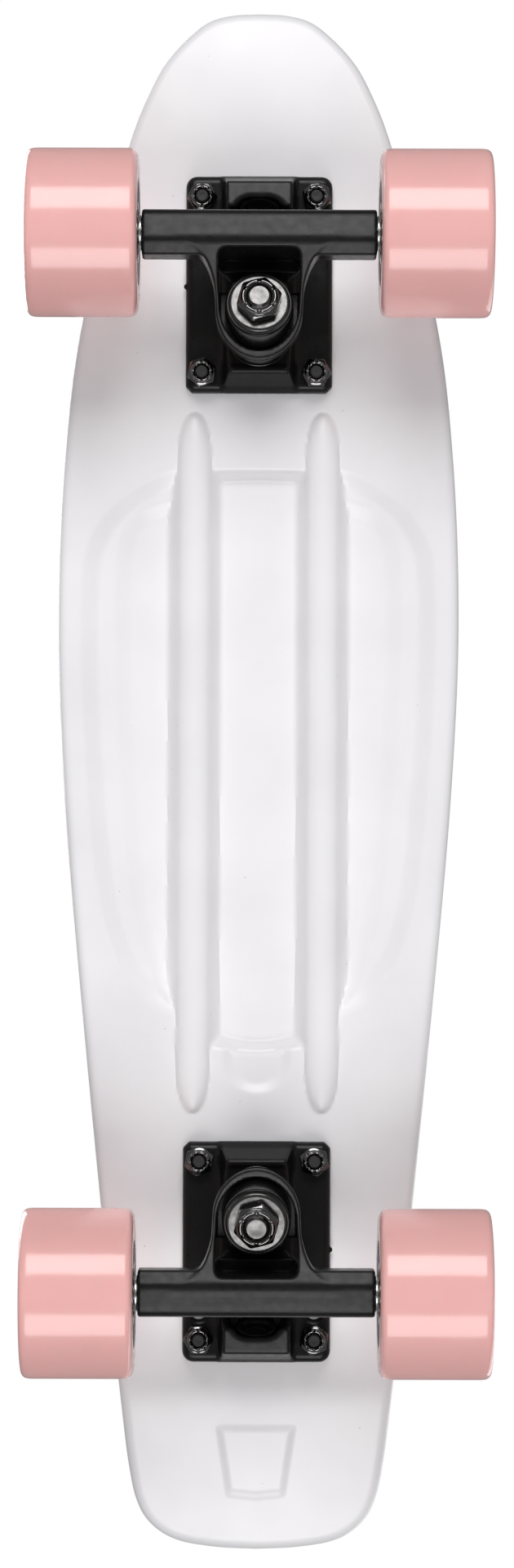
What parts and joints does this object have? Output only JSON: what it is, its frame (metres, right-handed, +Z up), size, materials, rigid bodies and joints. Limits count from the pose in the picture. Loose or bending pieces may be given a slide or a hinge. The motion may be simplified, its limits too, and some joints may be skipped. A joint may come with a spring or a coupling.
{
  "type": "skateboard",
  "caption": "Small moulded plastic cruiser skateboard with kicked tail, ribbed underside, cast trucks and soft urethane wheels.",
  "frame": {"origin": "on the floor under the middle of the deck, with the board standing on its wheels", "axes": "+X towards the nose, +Y to the rider's left (regular direction of travel +X), +Z up"},
  "size_m": [0.5588, 0.1634, 0.0993],
  "materials": {
    "white_plastic": "off-white polypropylene, satin, moulded waffle grip on top",
    "cast_black": "satin black powder coat over die-cast aluminium",
    "black_steel": "glossy black oxide and lacquer on steel fasteners",
    "dark_nickel": "dark nickel plate on steel, lightly scuffed",
    "black_nylon": "black moulded nylon, satin",
    "bushing_urethane": "black urethane, satin",
    "pink_urethane": "soft cast urethane, pale pink, matt tread",
    "zinc_steel": "bright zinc-plated steel"
  },
  "bodies": {
    "deck": {"deck": "white_plastic", "front_base_plate": "cast_black", "front_pivot_cup": "black_nylon", "front_kingpin": "dark_nickel", "front_kingpin_nut": "black_steel", "front_cup_washer": "dark_nickel", "front_lower_bushing": "bushing_urethane", "front_upper_bushing": "bushing_urethane", "front_inboard_right_bolt": "black_steel", "front_inboard_right_bolt_nut": "black_steel", "front_inboard_left_bolt": "black_steel", "front_inboard_left_bolt_nut": "black_steel", "front_outboard_right_bolt": "black_steel", "front_outboard_right_bolt_nut": "black_steel", "front_outboard_left_bolt": "black_steel", "front_outboard_left_bolt_nut": "black_steel", "rear_base_plate": "cast_black", "rear_pivot_cup": "black_nylon", "rear_kingpin": "dark_nickel", "rear_kingpin_nut": "black_steel", "rear_cup_washer": "dark_nickel", "rear_lower_bushing": "bushing_urethane", "rear_upper_bushing": "bushing_urethane", "rear_inboard_right_bolt": "black_steel", "rear_inboard_right_bolt_nut": "black_steel", "rear_inboard_left_bolt": "black_steel", "rear_inboard_left_bolt_nut": "black_steel", "rear_outboard_right_bolt": "black_steel", "rear_outboard_right_bolt_nut": "black_steel", "rear_outboard_left_bolt": "black_steel", "rear_outboard_left_bolt_nut": "black_steel"},
    "front_hanger": {"front_hanger": "cast_black", "front_axle": "zinc_steel", "front_left_speed_washer": "zinc_steel", "front_left_axle_nut": "zinc_steel", "front_right_speed_washer": "zinc_steel", "front_right_axle_nut": "zinc_steel"},
    "rear_hanger": {"rear_hanger": "cast_black", "rear_axle": "zinc_steel", "rear_left_speed_washer": "zinc_steel", "rear_left_axle_nut": "zinc_steel", "rear_right_speed_washer": "zinc_steel", "rear_right_axle_nut": "zinc_steel"},
    "front_left_wheel": {"front_left_tyre": "pink_urethane", "front_left_wheel_core": "black_nylon", "front_left_inner_bearing": "zinc_steel", "front_left_outer_bearing": "zinc_steel"},
    "front_right_wheel": {"front_right_tyre": "pink_urethane", "front_right_wheel_core": "black_nylon", "front_right_inner_bearing": "zinc_steel", "front_right_outer_bearing": "zinc_steel"},
    "rear_left_wheel": {"rear_left_tyre": "pink_urethane", "rear_left_wheel_core": "black_nylon", "rear_left_inner_bearing": "zinc_steel", "rear_left_outer_bearing": "zinc_steel"},
    "rear_right_wheel": {"rear_right_tyre": "pink_urethane", "rear_right_wheel_core": "black_nylon", "rear_right_inner_bearing": "zinc_steel", "rear_right_outer_bearing": "zinc_steel"}
  },
  "joints": [
    {"name": "front_steer", "type": "hinge", "parent": "deck", "child": "front_hanger", "pos_m": [0.16116, 0, 0.04933], "axis": [0.9376, 0, 0.3478], "range_deg": [-10, 10], "stiffness_Nm_per_rad": 25, "deforming": ["front_lower_bushing", "front_upper_bushing"]},
    {"name": "front_left_wheel_spin", "type": "hinge", "parent": "front_hanger", "child": "front_left_wheel", "pos_m": [0.189, 0.062, 0.0295], "axis": [0, 1, 0], "continuous": true},
    {"name": "front_right_wheel_spin", "type": "hinge", "parent": "front_hanger", "child": "front_right_wheel", "pos_m": [0.189, -0.062, 0.0295], "axis": [0, 1, 0], "continuous": true},
    {"name": "rear_steer", "type": "hinge", "parent": "deck", "child": "rear_hanger", "pos_m": [-0.15396, 0, 0.04933], "axis": [0.9376, 0, -0.3478], "range_deg": [-10, 10], "stiffness_Nm_per_rad": 25, "deforming": ["rear_lower_bushing", "rear_upper_bushing"]},
    {"name": "rear_left_wheel_spin", "type": "hinge", "parent": "rear_hanger", "child": "rear_left_wheel", "pos_m": [-0.1818, 0.062, 0.0295], "axis": [0, 1, 0], "continuous": true},
    {"name": "rear_right_wheel_spin", "type": "hinge", "parent": "rear_hanger", "child": "rear_right_wheel", "pos_m": [-0.1818, -0.062, 0.0295], "axis": [0, 1, 0], "continuous": true}
  ]
}
